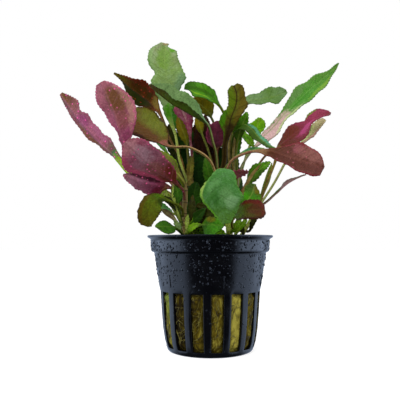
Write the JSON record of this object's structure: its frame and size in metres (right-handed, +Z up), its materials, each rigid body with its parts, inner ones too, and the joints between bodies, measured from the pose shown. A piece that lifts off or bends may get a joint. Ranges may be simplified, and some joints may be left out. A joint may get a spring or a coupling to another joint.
{
  "type": "potted aquarium plant",
  "caption": "Cardinal flower rooted in rock wool in a slotted black net pot, with toothed green, sage, red and purple leaves on slender stalks.",
  "frame": {"origin": "centre of the pot's foot, on the surface it stands on", "axes": "+Z up, the picture looks along +Y at the front of the plant, +X to its right"},
  "size_m": [0.1323, 0.0818, 0.1392],
  "materials": {
    "black_plastic": "injection-moulded black, lightly glossy",
    "rock_wool": "loose mineral fibre, damp, olive brown",
    "stem_brown": "knotted brown stem with leaf scars",
    "stem_green": "smooth green stem",
    "leaf_green": "satin leaf with veins, green",
    "leaf_lime": "satin leaf with veins, bright green",
    "leaf_sage": "matt leaf with veins, greyish green",
    "leaf_olive": "satin leaf with veins, olive",
    "leaf_red": "satin leaf with veins, brownish red",
    "leaf_purple": "satin leaf with veins, mauve to purple"
  },
  "bodies": {
    "root": {"leaf_arched_green": "leaf_green", "leaf_back_centre": "leaf_green", "leaf_back_high": "leaf_green", "leaf_back_left": "leaf_olive", "leaf_back_left_high": "leaf_green", "leaf_back_left_low": "leaf_green", "leaf_back_low": "leaf_lime", "leaf_back_mid_right": "leaf_green", "leaf_back_right": "leaf_green", "leaf_back_right_far": "leaf_red", "leaf_back_tall": "leaf_olive", "leaf_bottom_green": "leaf_green", "leaf_bottom_olive": "leaf_olive", "leaf_centre_dark": "leaf_green", "leaf_centre_maroon": "leaf_red", "leaf_centre_tall": "leaf_olive", "leaf_dark_purple": "leaf_purple", "leaf_far_left": "leaf_purple", "leaf_far_right": "leaf_green", "leaf_front_bright": "leaf_lime", "leaf_front_green": "leaf_green", "leaf_front_mauve": "leaf_purple", "leaf_front_red": "leaf_red", "leaf_hanging_pink": "leaf_purple", "leaf_inner_green": "leaf_green", "leaf_left_olive": "leaf_olive", "leaf_left_purple": "leaf_purple", "leaf_left_red": "leaf_red", "leaf_left_strap": "leaf_green", "leaf_lime": "leaf_lime", "leaf_low_lime": "leaf_lime", "leaf_low_olive": "leaf_olive", "leaf_low_purple": "leaf_purple", "leaf_right_drooping": "leaf_red", "leaf_right_magenta": "leaf_purple", "leaf_right_pale": "leaf_sage", "leaf_right_sage": "leaf_sage", "leaf_rim": "leaf_green", "leaf_serrated": "leaf_green", "leaf_small_dark": "leaf_red", "leaf_thin_right": "leaf_purple", "leaf_top_bright": "leaf_green", "leaf_top_folded": "leaf_green", "leaf_top_sage": "leaf_sage", "leaf_top_yellow": "leaf_olive", "pot": "black_plastic", "rock_wool": "rock_wool", "stem_back": "stem_brown", "stem_back_right": "stem_green", "stem_front": "stem_green", "stem_left": "stem_brown", "stem_mid_left": "stem_brown", "stem_middle": "stem_brown", "stem_right": "stem_green"}
  },
  "joints": []
}
